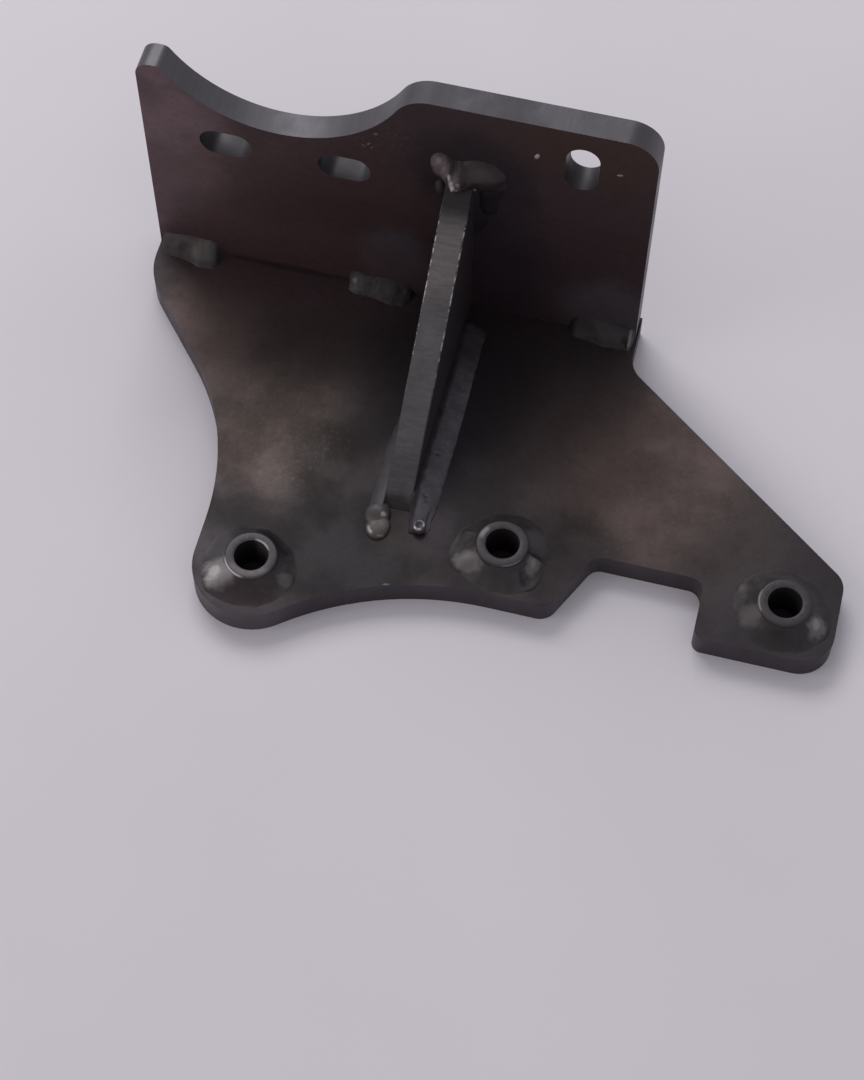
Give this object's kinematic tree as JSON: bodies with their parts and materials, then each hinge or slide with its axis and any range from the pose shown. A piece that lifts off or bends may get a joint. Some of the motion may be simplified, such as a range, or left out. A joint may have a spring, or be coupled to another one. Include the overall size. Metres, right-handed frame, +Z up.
{
  "type": "muffler mount",
  "caption": "Welded steel bracket that carries a round muffler in an open cradle, with a gusset, slots and bushes for bolting it down.",
  "frame": {"origin": "on the middle bush's axis, in the plane of the base plate's underside", "axes": "+X along the joint of the two plates towards the right bush, +Y from the bushes to the upright plate, +Z up along the bushes' bores"},
  "size_m": [0.1637, 0.0935, 0.0709],
  "materials": {
    "plate": "bare hot-rolled steel, brown and purple heat tint",
    "cut_plate": "bare hot-rolled steel with a ground edge",
    "bush": "turned, dulled by heat",
    "weld": "as welded, with bright spots"
  },
  "bodies": {
    "root": {"base_plate": "plate", "upright_plate": "plate", "gusset_plate": "cut_plate", "bush_left": "bush", "bush_middle": "bush", "bush_right": "bush", "weld_joint_left": "weld", "weld_joint_middle": "weld", "weld_joint_right": "weld", "weld_gusset_left": "weld", "weld_gusset_right": "weld", "weld_top_left": "weld", "weld_top_right": "weld", "weld_bush_left": "weld", "weld_bush_middle": "weld", "weld_bush_right": "weld"}
  },
  "joints": []
}
